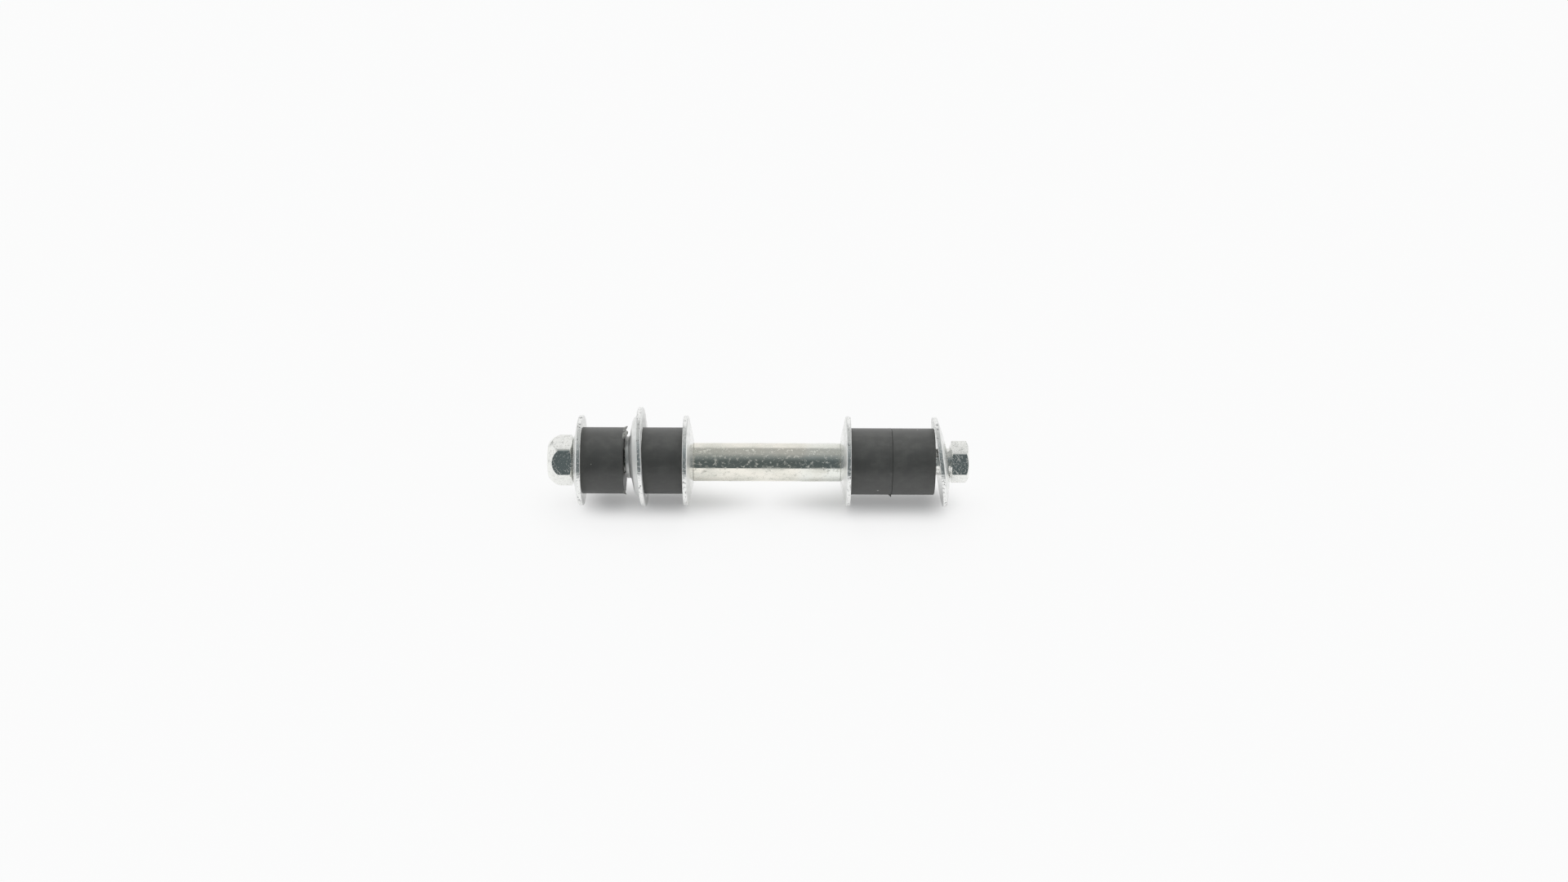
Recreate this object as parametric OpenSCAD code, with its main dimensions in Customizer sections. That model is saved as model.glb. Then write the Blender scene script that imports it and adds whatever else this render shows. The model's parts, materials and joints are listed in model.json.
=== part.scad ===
// Stabilizer link: a long bolt that carries two pairs of rubber bushings, a spacer sleeve between them,
// dished washers and a lock nut. The link lies on the washer rims, with the bolt along X, head at +X.
// All sizes are millimetres. Lengths along the bolt are counted from the face under its head.

/* [Bolt] */
// Diameter of the bolt's shank
bolt_d = 10; // [9:0.1:11]
// Size across the flats of the bolt's head
head_af = 14; // [13.5:0.1:15]
// Height of the bolt's head with the round face under it
head_h = 6.8; // [5.5:0.1:8]
// Height of the round face under the head
head_face_h = 0.5; // [0.3:0.1:1]
// Turn of the head's flats about the bolt
head_turn = 39; // [0:0.5:60]
// Length of the threaded end of the bolt
thread_len = 34; // [25:0.5:45]
// Chamfer on the tip of the bolt
tip_chamfer = 1; // [0.5:0.1:1.5]

/* [Lock nut] */
// Size across the flats of the nut
nut_af = 17; // [16.5:0.1:19]
// Height of the nut
nut_h = 9.4; // [8.8:0.1:11]
// Turn of the nut's flats about the bolt
nut_turn = 37; // [0:0.5:60]
// Length of the nut's domed end
dome_len = 6.4; // [5.8:0.1:6.6]
// Radius of the rounding of the nut's domed end
dome_r = 7.8; // [7.6:0.1:8.6]
// Depth of the lip that is rolled over the nylon ring
lip_t = 0.7; // [0.5:0.05:0.9]
// Thickness of the nylon ring along the bolt
ring_t = 2.4; // [1.8:0.1:3]
// Width of the nylon ring from its bore to its rim
ring_w = 1.35; // [1:0.05:1.45]

/* [Rubber bushings] */
// Outer diameter of a bushing
bushing_od = 25; // [22:0.1:27]
// Length of a bushing
bushing_len = 16; // [12:0.1:20]
// Rounding of the edges of a bushing
bushing_round = 0.45; // [0.2:0.05:1]

/* [Spacer sleeve] */
// Length of the sleeve
sleeve_len = 55; // [40:0.5:90]
// Wall of the sleeve
sleeve_wall = 1.65; // [1.2:0.05:2.2]
// Rounding of the ends of the sleeve
sleeve_round = 0.3; // [0.1:0.05:0.5]

/* [Dished washers] */
// Outer diameter of a dished washer
dish_od = 34; // [32:0.1:37]
// Thickness of the sheet that the washers are pressed from
sheet_t = 1.8; // [1.4:0.1:2.2]
// Depth of the dish
dish_depth = 2.2; // [1.6:0.1:2.6]
// Diameter of the flat middle of a dished washer
dish_flat_d = 16; // [15.5:0.1:18]
// Rounding of the washers' outer edges
rim_round = 0.4; // [0.1:0.05:0.6]
// Radius of the press's bends in the washers
bend_r = 1.2; // [0.5:0.1:1.5]
// Lean of the loose washer under the head
loose_lean = 7.3; // [0:0.1:9]
// Turn of that lean about the bolt, from straight up towards the far side
loose_swing = 23; // [0:1:45]

/* [Collared washer] */
// How much larger the collared washer is than the dished washers, on the diameter
collared_extra = 3.4; // [1:0.1:4]
// Depth of the collared washer's bowl
bowl_depth = 3.4; // [3:0.1:3.8]
// How much the bowl's floor rises from the collar to its edge
floor_rise = 1.3; // [0.8:0.1:1.8]
// Width of the flat rim around the bowl
bowl_rim_w = 2.5; // [2.2:0.1:3]
// Width of the bowl's steep side, on the radius
bowl_side_w = 1.9; // [1.5:0.1:2.4]
// Length of the collar above the bowl's floor
collar_len = 1.6; // [1.4:0.1:2]
// Wall of the collar
collar_wall = 0.8; // [0.6:0.05:1.2]
// Rounding between the collar and the bowl
collar_fillet = 1.2; // [0.5:0.1:1.5]
// Lean of the collared washer
collared_lean = 2.5; // [0:0.5:3]

/* [Fits] */
// Least play around the bolt in the washers, on the radius
hole_play = 0.1; // [0.05:0.05:0.3]
// Least play around the bolt in the collar, on the radius
collar_play = 0.35; // [0.2:0.05:0.5]
// Play around the bolt in the sleeve, on the radius
sleeve_play = 0.6; // [0.3:0.05:0.8]
// Space left on top of the bolt, where the loose sleeve hangs on it
hang_gap = 0.1; // [0.05:0.01:0.2]
// Play around the bolt in the bushings, on the radius
bushing_play = 0.3; // [0.2:0.05:0.5]
// Running play of the nut and the nylon ring, on the radius
thread_play = 0.05; // [0.03:0.01:0.08]
// Space between a bushing's edge and the dish that it seats in
seat_gap = 0.3; // [0.2:0.05:0.5]
// Space between the outer bushing and the collar
collar_gap = 0.8; // [0.6:0.1:1.5]
// Space left between the head-end bushing and the loose washer's dish
end_gap = 0.6; // [0.6:0.1:1.5]

/* [Hidden] */
// Smoothness of the round shapes
$fn = 64;
// Steps in the rounding of a profile's corner
arc_steps = 3;
// How far a cutting shape runs past what it cuts
overrun = 1;

// Bolt
bolt_r = bolt_d / 2;
// The thread's crests lie a little below the shank, and the thread runs out over a short taper
crest_drop = 0.1;
runout_len = 0.5;
thread_r = bolt_r - crest_drop;
// The head's flat end and the round face under it are this far inside the flats
head_face_inset = 0.35;
under_face_inset = 0.8;
under_face_r = head_af / 2 - under_face_inset;
// Chamfer on the head's corners above its round face
under_chamfer = 0.5;
// Slope of the chamfers on hexagon corners
hex_chamfer_slope = 30;
// The turned outlines stand this far outside the hexagon's corners
corner_spare = 0.1;

// Lock nut: its seat is this far inside the flats, and its lip covers this much of the nylon ring
nut_seat_inset = 0.25;
lip_cover = 0.6;
pocket_end = nut_h - lip_t;
pocket_len = ring_t + 2 * thread_play;
ring_rim_r = bolt_r + ring_w;

// Bushings and sleeve
bushing_r = bushing_od / 2;
sleeve_bore_r = bolt_r + sleeve_play;
sleeve_r = sleeve_bore_r + sleeve_wall;
sleeve_drop = sleeve_play - hang_gap;

// Dished washers
dish_r = dish_od / 2;
dish_flat_r = dish_flat_d / 2;
dish_h = dish_depth + sheet_t;
// The loose washer leans on the ground: its middle is lifted, and its hole has room for that
ground_lean = asin(sin(loose_lean) * cos(loose_swing));
loose_lift = (dish_h - rim_round) * sin(ground_lean) - dish_r * (1 - cos(ground_lean));
hole_r = (bolt_r + loose_lift + sheet_t / 2 * sin(loose_lean) + hole_play) / cos(loose_lean);
// Space between the leaning washer and the head
lean_gap = 0.1;

// Collared washer: it stands on the ground too, so its middle is higher than the bolt
collared_r = dish_r + collared_extra / 2;
collared_drop = collared_r * (1 - cos(collared_lean)) - (sheet_t - rim_round) * sin(collared_lean);
collared_lift = collared_extra / 2 - collared_drop;
collar_bore_r = bolt_r + collared_lift + collar_play;
collar_r = collar_bore_r + collar_wall;
bowl_h = bowl_depth + sheet_t;
collared_h = bowl_h + collar_len;
bowl_side_r = collared_r - bowl_rim_w;
bowl_floor_r = bowl_side_r - bowl_side_w;
bowl_floor_x = floor_rise - bowl_h;
// Slopes of the bowl's side and floor against the rim
side_slope = atan((bowl_depth - floor_rise) / bowl_side_w);
floor_slope = atan(floor_rise / (bowl_floor_r - collar_r));

// How deep a bushing's edge sits below the rim of a dish
dish_reach = dish_depth * (dish_r - bushing_r) / (dish_r - dish_flat_r);
seat_depth = dish_reach - seat_gap;

// Places along the bolt, from the face under the head towards the nut
loose_push = under_face_r * sin(loose_lean) + lean_gap;
loose_rim_x = -loose_push - dish_h;
bushing_4_end = loose_rim_x - bushing_r * sin(loose_lean) + dish_reach - end_gap;
bushing_3_end = bushing_4_end - bushing_len;
dish_4_rim = bushing_3_end - bushing_len + seat_depth;
sleeve_end = dish_4_rim - dish_h;
dish_3_face = sleeve_end - sleeve_len;
dish_3_rim = dish_3_face - dish_h;
bushing_2_end = dish_3_rim + seat_depth;
collared_rim = bushing_2_end - bushing_len + seat_depth;
bushing_1_end = collared_rim - collared_h - collar_gap;
dish_1_rim = bushing_1_end - bushing_len + seat_depth;
nut_face = dish_1_rim - dish_h;
nut_end = nut_face - nut_h;
// The tip of the bolt ends just inside the nut
tip_inset = 0.3;
bolt_len = -nut_end - tip_inset;
// The link's middle stands over the origin, and the washer rims stand on the ground
middle_x = (nut_end + head_h) / 2;
axis_z = dish_r;

// Unit direction of the flat part of a corner's offset
function direction(offset) = [offset[0], offset[1]] / norm([offset[0], offset[1]]);

// Points of one rounded corner, from its tip and the directions back and ahead along the profile
function corner_arc(tip, back, ahead, rounding) =
    rounding == 0 ? [tip] :
    let (
        half = acos(back * ahead) / 2,
        turn = 180 - 2 * half,
        centre = tip + direction(back + ahead) * rounding / sin(half),
        start = tip + back * rounding / tan(half) - centre,
        stop = tip + ahead * rounding / tan(half) - centre
    )
    [
        for (step = [0:arc_steps])
            let (share = step / arc_steps)
            centre + (start * sin((1 - share) * turn) + stop * sin(share * turn)) / sin(turn)
    ];

// Outline of a profile whose corners are radius, length along the bolt, and rounding
function rounded(corners) = [
    for (i = [0:len(corners) - 1])
        let (
            corner = corners[i],
            before = corners[(i + len(corners) - 1) % len(corners)],
            after = corners[(i + 1) % len(corners)]
        )
        each corner_arc(
            [corner[0], corner[1]], direction(before - corner), direction(after - corner), corner[2]
        )
];

// Step through the sheet at a bend between two slopes, so that the sheet keeps its thickness there
function through_sheet(slope_1, slope_2) =
    let (middle = (slope_1 + slope_2) / 2)
    [-sin(middle), cos(middle)] * sheet_t / cos((slope_2 - slope_1) / 2);

// Moves a shape from the bolt's own axis to its place in the link
module on_bolt(x) {
    translate([x - middle_x, 0, axis_z]) children();
}

// Turns a flat profile of radius and length about the bolt's axis
module turned() {
    rotate([0, 90, 0]) rotate_extrude() children();
}

// Six-sided bar along the bolt
module hex_bar(flats, length, turn) {
    rotate([turn, 0, 0]) rotate([0, 90, 0]) cylinder(r = flats / sqrt(3), h = length, $fn = 6);
}

// Plain hole along the bolt
module hole(radius, from, length) {
    translate([from, 0, 0]) rotate([0, 90, 0]) cylinder(r = radius, h = length);
}

// Hexagon head, chamfered on its outer end and faced round underneath
module bolt_head() {
    corner_r = head_af / sqrt(3) + corner_spare;
    face_r = head_af / 2 - head_face_inset;
    chamfer = (corner_r - face_r) * tan(hex_chamfer_slope);
    intersection() {
        hex_bar(head_af, head_h, head_turn);
        turned() polygon([
            [0, 0], [under_face_r, 0], [under_face_r, head_face_h],
            [corner_r - under_chamfer, head_face_h], [corner_r, head_face_h + under_chamfer],
            [corner_r, head_h - chamfer], [face_r, head_h], [0, head_h]
        ]);
    }
}

module bolt() {
    thread_start = thread_len - bolt_len;
    color([0.78, 0.79, 0.8]) on_bolt(0) union() {
        bolt_head();
        turned() polygon([
            [0, overrun], [bolt_r, overrun], [bolt_r, thread_start + runout_len], [thread_r, thread_start],
            [thread_r, tip_chamfer - bolt_len], [thread_r - tip_chamfer, -bolt_len], [0, -bolt_len]
        ]);
    }
}

// Outline of the domed nut: straight at the seat, rounded towards its outer end
module nut_outline() {
    corner_r = nut_af / sqrt(3) + corner_spare;
    seat_r = nut_af / 2 - nut_seat_inset;
    seat_chamfer = (corner_r - seat_r) * tan(hex_chamfer_slope);
    straight = nut_h - dome_len;
    polygon([
        [0, 0], [seat_r, 0], [corner_r, seat_chamfer], [corner_r, straight], [0, straight]
    ]);
    intersection() {
        translate([corner_r - dome_r, straight]) circle(r = dome_r, $fn = 96);
        translate([0, straight]) square([corner_r, dome_len]);
    }
}

// Domed hexagon with a pocket for the nylon ring and a lip that keeps the ring in
module lock_nut() {
    lip_r = ring_rim_r - lip_cover;
    color([0.8, 0.81, 0.82]) on_bolt(nut_face) mirror([1, 0, 0]) difference() {
        intersection() {
            hex_bar(nut_af, nut_h, nut_turn);
            turned() nut_outline();
        }
        hole(thread_r + thread_play, -overrun, nut_h + 2 * overrun);
        hole(ring_rim_r + thread_play, pocket_end - pocket_len, pocket_len);
        hole(lip_r, pocket_end - thread_play, lip_t + overrun);
    }
}

module nylon_ring() {
    color([0.9, 0.9, 0.86]) on_bolt(nut_face) mirror([1, 0, 0])
        translate([pocket_end - pocket_len + thread_play, 0, 0]) difference() {
            hole(ring_rim_r, 0, ring_t);
            hole(thread_r + thread_play, -overrun, ring_t + 2 * overrun);
        }
}

// Dished washer with its rim at zero and its hollow side facing +X
module dished_washer() {
    turned() polygon(rounded([
        [hole_r, -dish_h, 0], [dish_flat_r, -dish_h, bend_r + sheet_t],
        [dish_r, -sheet_t, rim_round], [dish_r, 0, rim_round],
        [dish_flat_r, -dish_depth, bend_r], [hole_r, -dish_depth, 0]
    ]));
}

module outer_washer_nut_end() {
    color([0.76, 0.77, 0.78]) on_bolt(dish_1_rim) dished_washer();
}

module inner_washer_nut_end() {
    color([0.76, 0.77, 0.78]) on_bolt(dish_3_rim) mirror([1, 0, 0]) dished_washer();
}

module inner_washer_head_end() {
    color([0.76, 0.77, 0.78]) on_bolt(dish_4_rim) dished_washer();
}

// The loose washer leans, because nothing holds it against the head
module outer_washer_head_end() {
    color([0.76, 0.77, 0.78]) on_bolt(-loose_push) translate([0, 0, loose_lift])
        rotate([-loose_swing, 0, 0]) rotate([0, -loose_lean, 0])
            translate([-dish_h, 0, 0]) mirror([1, 0, 0]) dished_washer();
}

// Bowl with a collar drawn up from its floor, hollow side facing +X, rim at zero
module collared_washer() {
    inner_rim = [bowl_side_r, -sheet_t] + through_sheet(0, side_slope);
    inner_floor = [bowl_floor_r, bowl_floor_x] + through_sheet(floor_slope, side_slope);
    inner_collar_x = inner_floor[1] - (inner_floor[0] - collar_bore_r) * tan(floor_slope);
    color([0.74, 0.75, 0.77]) on_bolt(collared_rim) translate([0, 0, collared_lift])
        rotate([0, -collared_lean, 0]) turned() polygon(rounded([
            [collar_bore_r, -collared_h, 0], [collar_r, -collared_h, collar_wall / 3],
            [collar_r, -bowl_h, collar_fillet], [bowl_floor_r, bowl_floor_x, bend_r + sheet_t / 2],
            [bowl_side_r, -sheet_t, bend_r / 2], [collared_r, -sheet_t, rim_round],
            [collared_r, 0, rim_round], [inner_rim[0], inner_rim[1], bend_r],
            [inner_floor[0], inner_floor[1], bend_r], [collar_bore_r, inner_collar_x, collar_fillet / 2]
        ]));
}

// Rubber bushing from zero towards the nut
module bushing() {
    bore_r = bolt_r + bushing_play;
    turned() polygon(rounded([
        [bore_r, -bushing_len, 0], [bushing_r, -bushing_len, bushing_round],
        [bushing_r, 0, bushing_round], [bore_r, 0, 0]
    ]));
}

module outer_bushing_nut_end() {
    color([0.12, 0.12, 0.13]) on_bolt(bushing_1_end) bushing();
}

module inner_bushing_nut_end() {
    color([0.12, 0.12, 0.13]) on_bolt(bushing_2_end) bushing();
}

module inner_bushing_head_end() {
    color([0.12, 0.12, 0.13]) on_bolt(bushing_3_end) bushing();
}

module outer_bushing_head_end() {
    color([0.12, 0.12, 0.13]) on_bolt(bushing_4_end) bushing();
}

// The sleeve hangs on the bolt, so it lies lower than the bolt by its play
module sleeve() {
    color([0.8, 0.78, 0.7]) on_bolt(sleeve_end) translate([0, 0, -sleeve_drop]) turned() polygon(rounded([
        [sleeve_bore_r, -sleeve_len, 0], [sleeve_r, -sleeve_len, sleeve_round],
        [sleeve_r, 0, sleeve_round], [sleeve_bore_r, 0, 0]
    ]));
}

bolt();
lock_nut();
nylon_ring();
outer_washer_nut_end();
outer_bushing_nut_end();
collared_washer();
inner_bushing_nut_end();
inner_washer_nut_end();
sleeve();
inner_washer_head_end();
inner_bushing_head_end();
outer_bushing_head_end();
outer_washer_head_end();
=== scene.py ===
# %% [markdown]
# # Dressing a stabilizer link
# A stabilizer link joins a car's sway bar to its suspension arm. This one is a long bolt that carries
# rubber bushings, dished washers and a spacer sleeve, closed by a lock nut. The solids come from a
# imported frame, in metres. Each of them is modelled again here with the roundings, thread and moulding
# flash that the eye expects, at the same place and size, and then gets a finish made of nodes.

# %% Load the frame
import json
import math
import bpy
from mathutils import Matrix, Vector, noise


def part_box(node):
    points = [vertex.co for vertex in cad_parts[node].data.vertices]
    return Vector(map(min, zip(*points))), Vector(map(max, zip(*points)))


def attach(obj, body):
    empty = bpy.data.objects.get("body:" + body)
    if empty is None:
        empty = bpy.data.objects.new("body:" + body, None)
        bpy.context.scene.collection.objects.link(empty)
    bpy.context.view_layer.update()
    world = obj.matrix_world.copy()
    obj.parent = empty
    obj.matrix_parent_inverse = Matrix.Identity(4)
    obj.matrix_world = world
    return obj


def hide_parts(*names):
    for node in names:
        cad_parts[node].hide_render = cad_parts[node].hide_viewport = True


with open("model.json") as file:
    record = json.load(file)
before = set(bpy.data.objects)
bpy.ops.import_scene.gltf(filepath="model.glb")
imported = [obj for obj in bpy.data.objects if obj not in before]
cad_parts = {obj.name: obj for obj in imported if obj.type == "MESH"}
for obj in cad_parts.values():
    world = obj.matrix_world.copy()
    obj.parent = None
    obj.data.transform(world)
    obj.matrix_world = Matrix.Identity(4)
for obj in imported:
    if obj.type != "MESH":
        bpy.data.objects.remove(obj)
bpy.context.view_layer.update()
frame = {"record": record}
MM = 0.001

# %% [markdown]
# ## Where things are
# The pieces are threaded on one line, so a piece's place is a distance along X and the height of that
# line. Both are read from the frame's boxes and joints, so nothing is fitted by eye.

# %% Read the places from the frame
joints = {joint["name"]: joint for joint in frame["record"]["behaviour"]["joints"]}


def low_high(node, axis):
    """Returns the lowest and highest place of a node along one axis."""
    low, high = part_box(node)
    return low[axis], high[axis]


axis_z = joints["nut_turn"]["pos_m"][2]
nut_outer_x, nut_face_x = low_high("lock_nut", 0)
tip_x, head_end_x = low_high("bolt", 0)
print("bolt line at", round(axis_z / MM, 3), "mm")
print("bolt from", round(tip_x / MM, 3), "to", round(head_end_x / MM, 3), "mm")

# %% [markdown]
# ## Turning a profile
# Almost every piece of the link is round. On a lathe, a round piece is its half section swept about
# an axis, and that is how it is made here: a flat circle is added with one vertex for each corner of
# the section, each vertex is moved to its corner, corners are rounded with a vertex bevel, and the
# outline is spun about the bolt's line. A spin starts and ends on the same outline, so the doubles
# are merged before the normals are set.

# %% Helpers for round pieces
TURN_STEPS = 128
CORNER_SEGMENTS = 4
MERGE = 0.002 * MM


def start_clean():
    """Leaves edit mode and deselects everything, because operators act on all that is selected."""
    if bpy.context.object and bpy.context.object.mode != "OBJECT":
        bpy.ops.object.mode_set(mode="OBJECT")
    bpy.ops.object.select_all(action="DESELECT")


def make_active(piece):
    """Selects one piece alone."""
    start_clean()
    piece.select_set(True)
    bpy.context.view_layer.objects.active = piece


def select_corners(piece, places):
    """Selects the vertices of a piece that lie at the given places."""
    bpy.ops.mesh.select_mode(type="VERT")
    bpy.ops.mesh.select_all(action="DESELECT")
    bpy.ops.object.mode_set(mode="OBJECT")
    for vertex in piece.data.vertices:
        vertex.select = any((vertex.co - place).length < MERGE for place in places)
    bpy.ops.object.mode_set(mode="EDIT")


def turned(name, corners, at_x, facing=1, steps=TURN_STEPS):
    """Turns a closed section about the bolt's line.

    A corner of the section is (along, radius, rounding) in millimetres.
    """
    start_clean()
    bpy.ops.mesh.primitive_circle_add(vertices=len(corners), radius=MM, fill_type="NGON")
    piece = bpy.context.object
    piece.name = name
    places = []
    for along, radius, rounding in corners:
        places.append(Vector((at_x + facing * along * MM, 0, axis_z + radius * MM)))
    for vertex, place in zip(piece.data.vertices, places):
        vertex.co = place
    bpy.ops.object.mode_set(mode="EDIT")
    for size in sorted({rounding for along, radius, rounding in corners if rounding > 0}):
        select_corners(piece, [place for place, corner in zip(places, corners) if corner[2] == size])
        bpy.ops.mesh.bevel(offset=size * MM, segments=CORNER_SEGMENTS, affect="VERTICES")
    bpy.ops.mesh.select_all(action="SELECT")
    bpy.ops.mesh.delete(type="ONLY_FACE")
    bpy.ops.mesh.select_all(action="SELECT")
    bpy.ops.mesh.spin(steps=steps, angle=2 * math.pi, center=(0, 0, axis_z), axis=(1, 0, 0))
    bpy.ops.mesh.select_all(action="SELECT")
    bpy.ops.mesh.remove_doubles(threshold=MERGE)
    bpy.ops.mesh.normals_make_consistent(inside=False)
    bpy.ops.object.mode_set(mode="OBJECT")
    return piece


def soften(piece, degrees=32):
    """Shades a piece smooth, apart from its sharp edges."""
    make_active(piece)
    bpy.ops.object.shade_smooth_by_angle(angle=math.radians(degrees))


def stands_for(piece, node):
    """Puts a finished piece in the place of a node of the frame."""
    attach(piece, node)
    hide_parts(node)
    size = [round(side / MM, 2) for side in piece.dimensions]
    print(piece.name, "stands for", node, size, "mm,", len(piece.data.vertices), "vertices")


# %% [markdown]
# ## Dished washers
# Four washers are pressed from sheet: a flat middle, a skirt that falls away to the rim, and edges
# that the press has rounded. A turned section with generous roundings at the bends gives that, and
# the same section serves all four, facing one way or the other so that the hollow side always takes a
# bushing. The narrow outer edge was sheared, not pressed, so its faces get a second material of their
# own.

# %% Washers
SHEET = 1.8
DISH_R = 17
DISH_FLAT_R = 8
HOLE_R = 5.568
HOLE_EDGE = 0.3
OUTER_BEND = 1.6
INNER_BEND = 1.4
RIM_BACK_EDGE = 0.45
RIM_FRONT_EDGE = 0.4
EDGE_FACING = 0.9
EDGE_BAND = 0.12
nut_dish_back_x, nut_dish_rim_x = low_high("outer_washer_nut_end", 0)
DISH_H = (nut_dish_rim_x - nut_dish_back_x) / MM
DISH_DEPTH = DISH_H - SHEET
dish_section = [
    (-DISH_H, HOLE_R, HOLE_EDGE), (-DISH_H, DISH_FLAT_R, OUTER_BEND),
    (-SHEET, DISH_R, RIM_BACK_EDGE), (0, DISH_R, RIM_FRONT_EDGE),
    (-DISH_DEPTH, DISH_FLAT_R, INNER_BEND), (-DISH_DEPTH, HOLE_R, HOLE_EDGE)
]


def mark_edge(piece, radius):
    """Gives the faces of a washer's sheared outer edge the second material slot."""
    edge_faces = 0
    for face in piece.data.polygons:
        outward = math.hypot(face.normal.y, face.normal.z)
        reach = math.hypot(face.center.y, face.center.z - axis_z)
        if outward > EDGE_FACING and reach > (radius - EDGE_BAND) * MM:
            face.material_index = 1
            edge_faces += 1
    return edge_faces


def washer(name, section, radius, rim_x, facing=1):
    """Turns one washer with its rim at a place on the bolt."""
    piece = turned(name, section, rim_x, facing)
    soften(piece)
    piece.data.materials.append(None)
    piece.data.materials.append(None)
    print(name, "has", mark_edge(piece, radius), "faces on its sheared edge")
    return piece


nut_end_dish = washer("nut_end_dish", dish_section, DISH_R, nut_dish_rim_x)
stands_for(nut_end_dish, "outer_washer_nut_end")
inner_nut_rim_x = low_high("inner_washer_nut_end", 0)[0]
inner_nut_dish = washer("inner_nut_dish", dish_section, DISH_R, inner_nut_rim_x, -1)
stands_for(inner_nut_dish, "inner_washer_nut_end")
inner_head_rim_x = low_high("inner_washer_head_end", 0)[1]
inner_head_dish = washer("inner_head_dish", dish_section, DISH_R, inner_head_rim_x)
stands_for(inner_head_dish, "inner_washer_head_end")

# %% [markdown]
# The washer under the head is loose. It stands on the ground and leans, so it is turned upright at
# its place and then tipped about the middle of its flat face, which is where its joint is. The
# joint's axis says which way.

# %% Loose washer
LOOSE_LEAN = math.radians(7.3)
loose_middle = Vector(joints["loose_washer_rock"]["pos_m"])
loose_axis = Vector(joints["loose_washer_rock"]["axis"])


def tip(piece, angle, middle, axis):
    """Tips a piece about a line through a point, with the turn kept in its mesh."""
    turn = Matrix.Translation(middle) @ Matrix.Rotation(angle, 4, axis) @ Matrix.Translation(-middle)
    piece.data.transform(turn)
    piece.data.update()


def lift(piece, height):
    """Raises a piece, with its place kept in its mesh."""
    piece.data.transform(Matrix.Translation((0, 0, height)))
    piece.data.update()


loose_dish = washer("loose_dish", dish_section, DISH_R, loose_middle.x - DISH_H * MM, -1)
lift(loose_dish, loose_middle.z - axis_z)
tip(loose_dish, -LOOSE_LEAN, loose_middle, loose_axis)
stands_for(loose_dish, "outer_washer_head_end")

# %% [markdown]
# ## Collared washer
# The widest washer is a bowl with a short collar drawn up out of its floor: the collar centres the
# arm's hole. It stands on the ground too, so its middle is above the bolt, and it leans a little.

# %% Collared washer
COLLARED_R = 18.7
COLLAR_BORE_R = 7.093
COLLAR_R = 7.893
BOWL_DEPTH = 3.4
FLOOR_RISE = 1.3
BOWL_SIDE_R = 16.2
BOWL_FLOOR_R = 14.3
COLLAR_LEN = 1.6
COLLAR_BORE_EDGE = 0.2
COLLAR_EDGE = 0.12
COLLAR_BEND = 0.5
FLOOR_BEND = 0.8
INNER_FLOOR_BEND = 0.5
SIDE_BEND = 0.3
INNER_SIDE_BEND = 0.6
COLLARED_LEAN = math.radians(2.5)
BOWL_H = BOWL_DEPTH + SHEET
floor_x = FLOOR_RISE - BOWL_H
collar_end_x = -BOWL_H - COLLAR_LEN
side_slope = math.atan((BOWL_DEPTH - FLOOR_RISE) / (BOWL_SIDE_R - BOWL_FLOOR_R))
floor_slope = math.atan(FLOOR_RISE / (BOWL_FLOOR_R - COLLAR_R))
collared_middle = Vector(joints["spin_collared_washer"]["pos_m"])


def through_sheet(slope_1, slope_2):
    """Step along and outward through the sheet at a bend between two slopes."""
    middle = (slope_1 + slope_2) / 2
    step = SHEET / math.cos((slope_2 - slope_1) / 2)
    return step * math.cos(middle), -step * math.sin(middle)


rim_step = through_sheet(0, side_slope)
floor_step = through_sheet(floor_slope, side_slope)
inner_floor_x = floor_x + floor_step[0]
inner_floor_r = BOWL_FLOOR_R + floor_step[1]
inner_collar_x = inner_floor_x - (inner_floor_r - COLLAR_BORE_R) * math.tan(floor_slope)
collared_section = [
    (collar_end_x, COLLAR_BORE_R, COLLAR_BORE_EDGE), (collar_end_x, COLLAR_R, COLLAR_EDGE),
    (-BOWL_H, COLLAR_R, COLLAR_BEND), (floor_x, BOWL_FLOOR_R, FLOOR_BEND),
    (-SHEET, BOWL_SIDE_R, SIDE_BEND), (-SHEET, COLLARED_R, RIM_BACK_EDGE), (0, COLLARED_R, RIM_FRONT_EDGE),
    (0, BOWL_SIDE_R + rim_step[1], INNER_SIDE_BEND), (inner_floor_x, inner_floor_r, INNER_FLOOR_BEND),
    (inner_collar_x, COLLAR_BORE_R, COLLAR_BEND)
]
collared_bowl = washer("collared_bowl", collared_section, COLLARED_R, collared_middle.x)
lift(collared_bowl, collared_middle.z - axis_z)
tip(collared_bowl, -COLLARED_LEAN, collared_middle, Vector((0, 1, 0)))
stands_for(collared_bowl, "collared_washer")

# %% [markdown]
# ## Spacer sleeve
# The sleeve is a cut length of tube. Its ends are broken by the tool that cut it, so they get a small
# rounding. It is loose on the bolt and hangs on it, so its own middle is a little lower than the
# bolt's line.

# %% Sleeve
SLEEVE_BORE_R = 5.6
SLEEVE_R = 7.25
SLEEVE_BORE_EDGE = 0.2
SLEEVE_EDGE = 0.15
sleeve_left, sleeve_right = low_high("sleeve", 0)
sleeve_low, sleeve_high = low_high("sleeve", 2)
sleeve_len = (sleeve_right - sleeve_left) / MM
sleeve_section = [
    (0, SLEEVE_BORE_R, SLEEVE_BORE_EDGE), (0, SLEEVE_R, SLEEVE_EDGE),
    (sleeve_len, SLEEVE_R, SLEEVE_EDGE), (sleeve_len, SLEEVE_BORE_R, SLEEVE_BORE_EDGE)
]
spacer_tube = turned("spacer_tube", sleeve_section, sleeve_left)
soften(spacer_tube)
lift(spacer_tube, (sleeve_low + sleeve_high) / 2 - axis_z)
stands_for(spacer_tube, "sleeve")

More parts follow.
